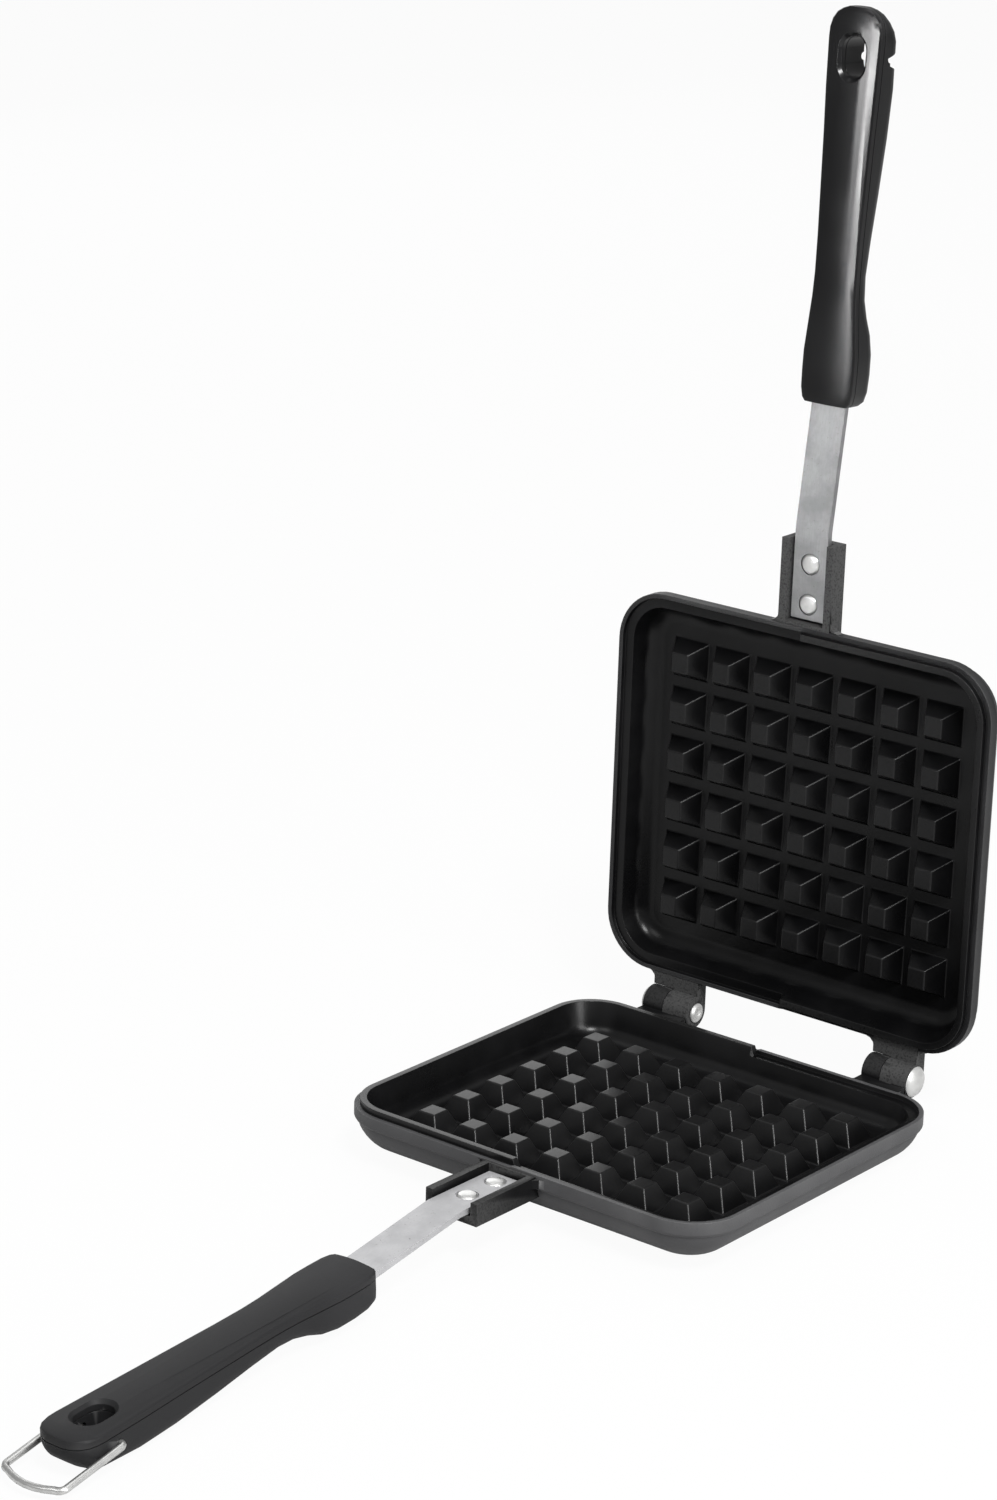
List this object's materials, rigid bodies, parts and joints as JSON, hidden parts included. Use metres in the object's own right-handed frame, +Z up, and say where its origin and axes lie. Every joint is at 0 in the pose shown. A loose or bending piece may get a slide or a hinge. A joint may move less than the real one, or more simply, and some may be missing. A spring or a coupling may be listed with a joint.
{
  "type": "stovetop waffle iron",
  "caption": "Hinged two-pan stovetop waffle iron standing open, with rectangular waffle pans, riveted steel straps, long black handles and a wire bail latch.",
  "frame": {"origin": "on the table, below the middle of the whole standing-open iron", "axes": "+Z up, +X along the hinge axis, -Y towards the tip of the lower handle, +Y towards the hinge"},
  "size_m": [0.1448, 0.3882, 0.3498],
  "materials": {
    "lower_coating": "cast aluminium under a near-black satin non-stick coating",
    "upper_coating": "cast aluminium under a near-black satin non-stick coating",
    "lower_plastic": "black heat-proof plastic, semi-gloss",
    "upper_plastic": "black heat-proof plastic, semi-gloss",
    "lower_strap_steel": "plain rolled steel strip with sheared edges",
    "lower_rivet_steel": "bright rivet steel",
    "upper_strap_steel": "plain rolled steel strip with sheared edges",
    "upper_rivet_steel": "bright rivet steel",
    "hinge_rivet_steel": "bright rivet steel",
    "bail_wire": "chrome-plated spring wire"
  },
  "bodies": {
    "lower_half": {"left_hinge_rivet": "hinge_rivet_steel", "lower_handle_cover": "lower_plastic", "lower_handle_shell": "lower_plastic", "lower_pan": "lower_coating", "lower_strap": "lower_strap_steel", "lower_strap_rivet_inner": "lower_rivet_steel", "lower_strap_rivet_outer": "lower_rivet_steel", "lower_tang_pin_far": "lower_rivet_steel", "lower_tang_pin_near": "lower_rivet_steel", "right_hinge_rivet": "hinge_rivet_steel"},
    "lid": {"upper_handle_cover": "upper_plastic", "upper_handle_shell": "upper_plastic", "upper_pan": "upper_coating", "upper_strap": "upper_strap_steel", "upper_strap_rivet_inner": "upper_rivet_steel", "upper_strap_rivet_outer": "upper_rivet_steel", "upper_tang_pin_far": "upper_rivet_steel", "upper_tang_pin_near": "upper_rivet_steel"},
    "bail": {"latch_bail": "bail_wire"}
  },
  "joints": [
    {"name": "lid_hinge", "type": "hinge", "parent": "lower_half", "child": "lid", "pos_m": [0, 0.15528, 0.01384], "axis": [1, 0, 0], "range_deg": [0, 90]},
    {"name": "bail_swing", "type": "hinge", "parent": "lower_half", "child": "bail", "pos_m": [0, -0.16611, 0.00761], "axis": [1, 0, 0], "range_deg": [-150, 135]}
  ]
}
